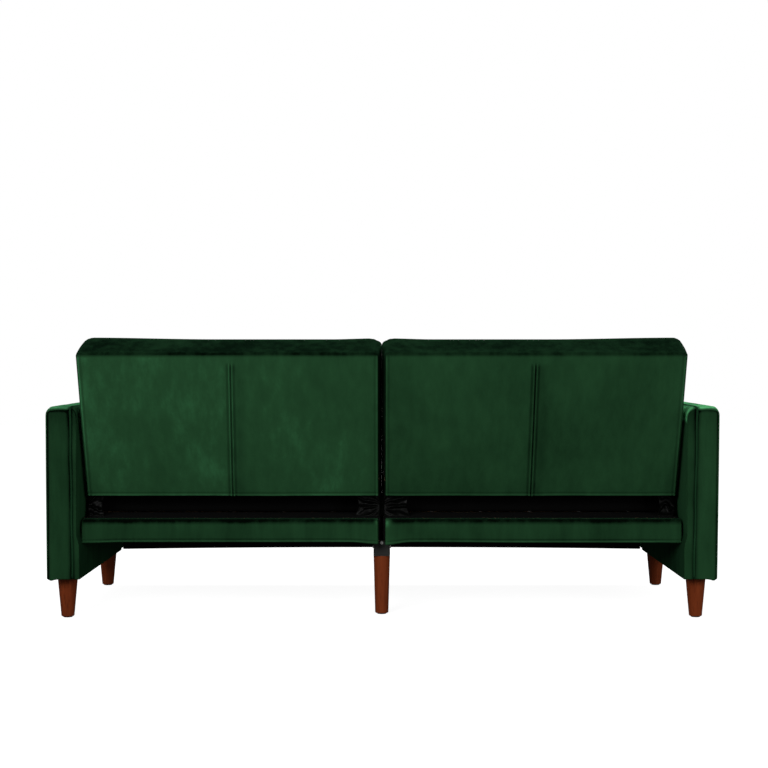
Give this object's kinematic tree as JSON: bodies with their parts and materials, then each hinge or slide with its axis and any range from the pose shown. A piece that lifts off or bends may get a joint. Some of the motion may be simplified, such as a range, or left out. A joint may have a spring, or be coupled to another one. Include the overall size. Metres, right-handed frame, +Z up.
{
  "type": "futon sofa bed",
  "caption": "Split-back velvet futon sofa bed with slim piped track arms, tapered round wooden legs and back halves that recline flat.",
  "frame": {"origin": "on the floor, under the middle of the sofa's box", "axes": "+X to the sitter's left, -Y to the front, +Z up"},
  "size_m": [2.07, 0.8731, 0.8632],
  "materials": {
    "velvet": "matte",
    "velvet_piping": "matte",
    "black_nonwoven": "matte",
    "leg_wood": "satin",
    "frame_wood": "matte",
    "black_metal": "satin",
    "zinc_steel": "satin",
    "spring_wire": "satin",
    "webbing": "matte",
    "glide_plastic": "matte"
  },
  "bodies": {
    "base": {"arm_bolts": "zinc_steel", "center_beam": "black_metal", "center_bracket_screws": "zinc_steel", "center_front_bracket": "black_metal", "center_front_leg": "leg_wood", "center_rear_bracket": "black_metal", "center_rear_leg": "leg_wood", "foot_glides": "glide_plastic", "hinge_pins": "zinc_steel", "left_arm_frame": "frame_wood", "left_arm_inner_pad": "velvet", "left_arm_outer_pad": "velvet", "left_arm_piping": "velvet_piping", "left_front_apron": "velvet", "left_front_leg": "leg_wood", "left_inner_seat_plate": "zinc_steel", "left_outer_seat_plate": "zinc_steel", "left_rear_leg": "leg_wood", "left_rear_rail": "velvet", "left_seat_cushion": "velvet", "left_seat_dust_cover": "black_nonwoven", "left_seat_frame": "frame_wood", "left_seat_rear_cover": "black_nonwoven", "left_seat_springs": "spring_wire", "leg_hanger_bolts": "zinc_steel", "leg_mount_plates": "zinc_steel", "right_arm_frame": "frame_wood", "right_arm_inner_pad": "velvet", "right_arm_outer_pad": "velvet", "right_arm_piping": "velvet_piping", "right_front_apron": "velvet", "right_front_leg": "leg_wood", "right_inner_seat_plate": "zinc_steel", "right_outer_seat_plate": "zinc_steel", "right_rear_leg": "leg_wood", "right_rear_rail": "velvet", "right_seat_cushion": "velvet", "right_seat_dust_cover": "black_nonwoven", "right_seat_frame": "frame_wood", "right_seat_rear_cover": "black_nonwoven", "right_seat_springs": "spring_wire", "seat_plate_screws": "zinc_steel"},
    "left_back": {"left_back_bottom_cover": "black_nonwoven", "left_back_cushion": "velvet", "left_back_frame": "frame_wood", "left_back_plate_screws": "zinc_steel", "left_back_rear_panel": "velvet", "left_back_webbing": "webbing", "left_inner_back_plate": "zinc_steel", "left_outer_back_plate": "zinc_steel"},
    "right_back": {"right_back_bottom_cover": "black_nonwoven", "right_back_cushion": "velvet", "right_back_frame": "frame_wood", "right_back_plate_screws": "zinc_steel", "right_back_rear_panel": "velvet", "right_back_webbing": "webbing", "right_inner_back_plate": "zinc_steel", "right_outer_back_plate": "zinc_steel"}
  },
  "joints": [
    {"name": "left_back_recline", "type": "hinge", "parent": "base", "child": "left_back", "pos_m": [0.4635, 0.17147, 0.43728], "axis": [-1, 0, 0], "range_deg": [-12, 69]},
    {"name": "right_back_recline", "type": "hinge", "parent": "base", "child": "right_back", "pos_m": [-0.4635, 0.17147, 0.43728], "axis": [-1, 0, 0], "range_deg": [-12, 69]}
  ]
}
